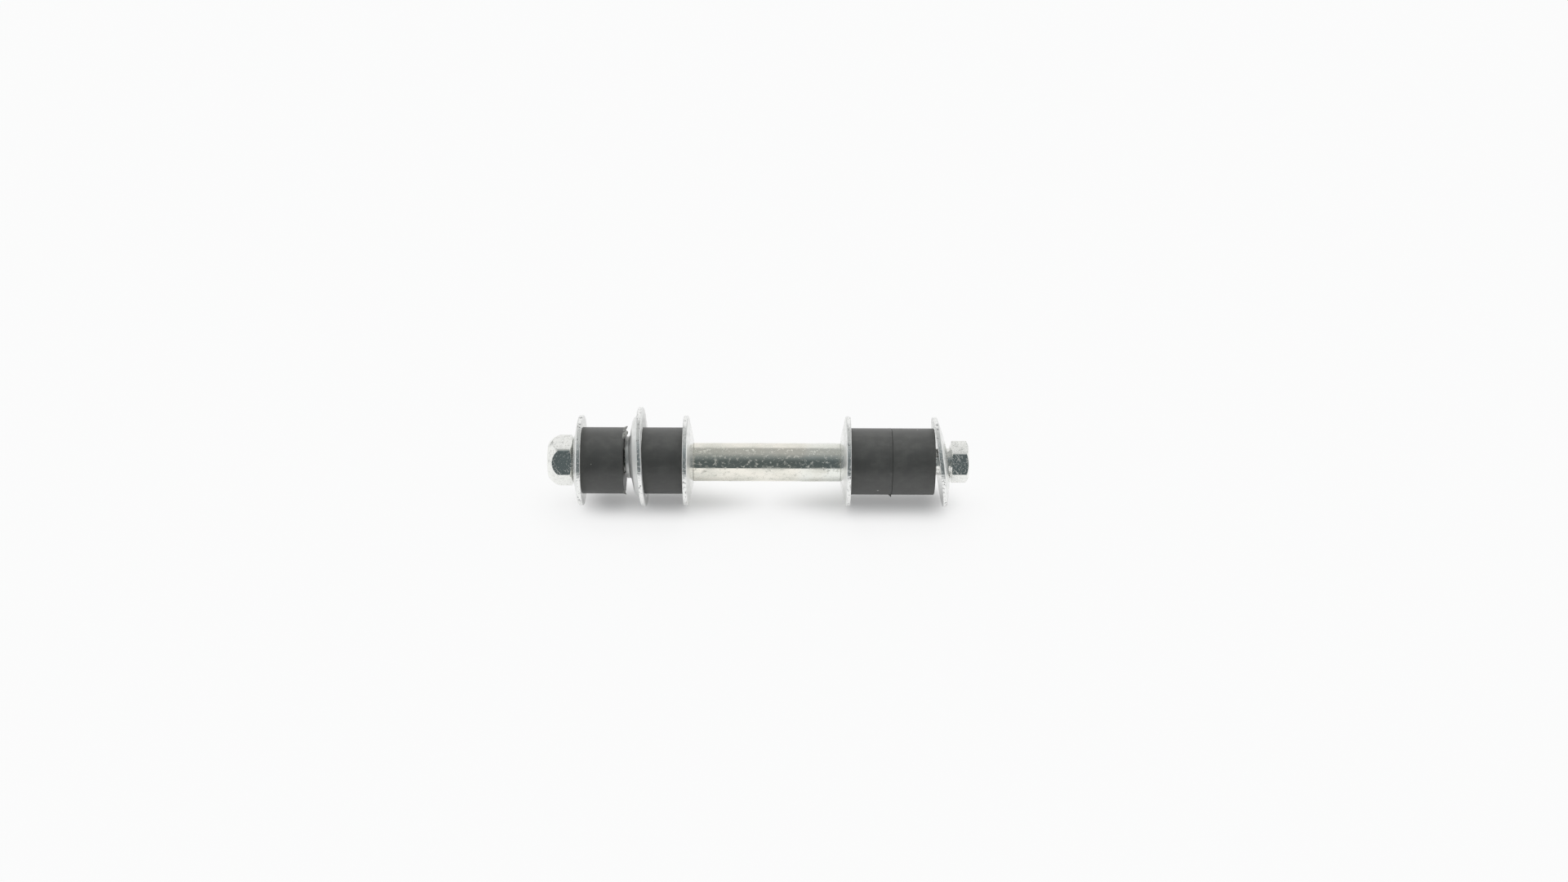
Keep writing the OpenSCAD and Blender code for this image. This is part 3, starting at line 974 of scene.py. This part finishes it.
# Painted white: it fades the table's shadow out away from the bushings and lightens it under the sleeve.
white = WHITE_NEAR + (WHITE_FAR - WHITE_NEAR) * table.ramp(away, MM, SHADOW_WIDTH)
share = (seen + mirrored + looked_through) * white
table_with_painted_white = table.node("ShaderNodeMixShader", {}, {0: share, 1: matt, 2: glow})
# Painted reflection: mirrors see the table as dim as the near side of the room, from a hand's width in
# front of the link.
dim = table.node("ShaderNodeEmission", {}, {"Color": NEAR_WALL, "Strength": 1.0})
painted_dim_share = mirrored * table.ramp(0 - table_y, DIM_FROM, DIM_TO)
table_with_painted_dim = table.node("ShaderNodeMixShader", {}, {0: painted_dim_share, 1: table_with_painted_white, 2: dim})
table.node("ShaderNodeOutputMaterial", {}, {"Surface": table_with_painted_dim})
dress(floor, table_white)
print("floor", FLOOR_SIZE, "m wide")

# %% [markdown]
# ## Light
# Polished metal shows the room more than its own colour. The room here is a plain studio: a white
# card behind the link, white walls at both sides, a grey ceiling overhead, and a dim room on the side
# from which one looks. One ramp over the angle from the near horizon, up over the top and down to the
# far horizon, gives the card and the ceiling, and two more over the distance to the side end the card
# and begin the side walls. A very soft sun from above, a little behind, keeps the shadow under the
# link and does not mirror in the metal.

# %% World
DUSK = (0.222, 0.252, 0.26, 1)
CEILING = (0.45, 0.46, 0.455, 1)
FAR_WALL = (0.9, 0.9, 0.9, 1)
SIDE_WALL = (0.95, 0.95, 0.95, 1)
CARD_TO = 0.06
NO_CARD_FROM = 0.16
CORNER_FROM = 0.3
SIDE_WALL_FROM = 0.65
world = bpy.data.worlds.new("studio")
bpy.context.scene.world = world
room = Finish(world)
toward = room.node("ShaderNodeTexCoord", out="Generated")
along_x = room.node("ShaderNodeSeparateXYZ", {}, {"Vector": toward}, out="X")
along_y = room.node("ShaderNodeSeparateXYZ", {}, {"Vector": toward}, out="Y")
along_z = room.node("ShaderNodeSeparateXYZ", {}, {"Vector": toward}, out="Z")
over = room.maths("ARCTAN2", along_z, 0 - along_y) / math.pi
near_stops = [(0.0, NEAR_WALL), (0.2, NEAR_WALL), (0.32, DUSK), (0.46, CEILING)]
far_stops = [(0.66, CEILING), (0.74, FAR_WALL), (1.0, FAR_WALL)]
walls = room.node("ShaderNodeValToRGB", {"stops": near_stops + far_stops}, {"Fac": over})
plain = room.node("ShaderNodeValToRGB", {"stops": near_stops + [(1.0, CEILING)]}, {"Fac": over})
aside = along_x * along_x
card = room.blend(room.ramp(aside, CARD_TO, NO_CARD_FROM), walls, plain)
lit_room = room.blend(room.ramp(aside, CORNER_FROM, SIDE_WALL_FROM), card, SIDE_WALL)
light = room.node("ShaderNodeBackground", {}, {"Color": lit_room, "Strength": 1.0})
room.node("ShaderNodeOutputWorld", {}, {"Surface": light})

SUN_STRENGTH = 1.6
SUN_LEAN = math.radians(-12)
SUN_WIDTH = math.radians(60)
SUN_PLACE = (0, -1, 2)
start_clean()
bpy.ops.object.light_add(type="SUN", rotation=(SUN_LEAN, 0, 0), location=SUN_PLACE)
sun = bpy.context.object
sun.name = "soft_sun"
sun.data.energy = SUN_STRENGTH
sun.data.angle = SUN_WIDTH
sun.visible_glossy = False
print("world and one soft sun")

# %% [markdown]
# ## Camera
# The camera looks down on the link at thirty degrees, square to the bolt, with a lens and a distance
# that give the same slight perspective as the picture: the washers show a little of the faces that
# look towards the middle.

# %% Camera
LENS_PX = 2600
PICTURE_W = 1920
SENSOR = 36
MM_PER_PX = 0.3075
ELEVATION = math.radians(30)
ROLL = math.radians(0.24)
LOOK_X = 9.65 * MM
LOOK_UP = 7.55 * MM
distance = LENS_PX * MM_PER_PX * MM
right = Vector((1, 0, 0))
up = Vector((0, math.sin(ELEVATION), math.cos(ELEVATION)))
back = Vector((0, -math.cos(ELEVATION), math.sin(ELEVATION)))
looked_at = Vector((LOOK_X, 0, axis_z)) + up * LOOK_UP
camera_data = bpy.data.cameras.new("camera")
camera_data.sensor_width = SENSOR
camera_data.lens = LENS_PX / PICTURE_W * SENSOR
camera = bpy.data.objects.new("camera", camera_data)
bpy.context.collection.objects.link(camera)
facing = Matrix((right, up, back)).transposed().to_4x4()
stand = Matrix.Translation(looked_at + back * distance)
camera.matrix_world = stand @ facing @ Matrix.Rotation(ROLL, 4, "Z")
bpy.context.scene.camera = camera
bpy.context.scene.view_settings.view_transform = "Standard"
print("camera", round(distance, 3), "m away, lens", round(camera_data.lens, 2), "mm")
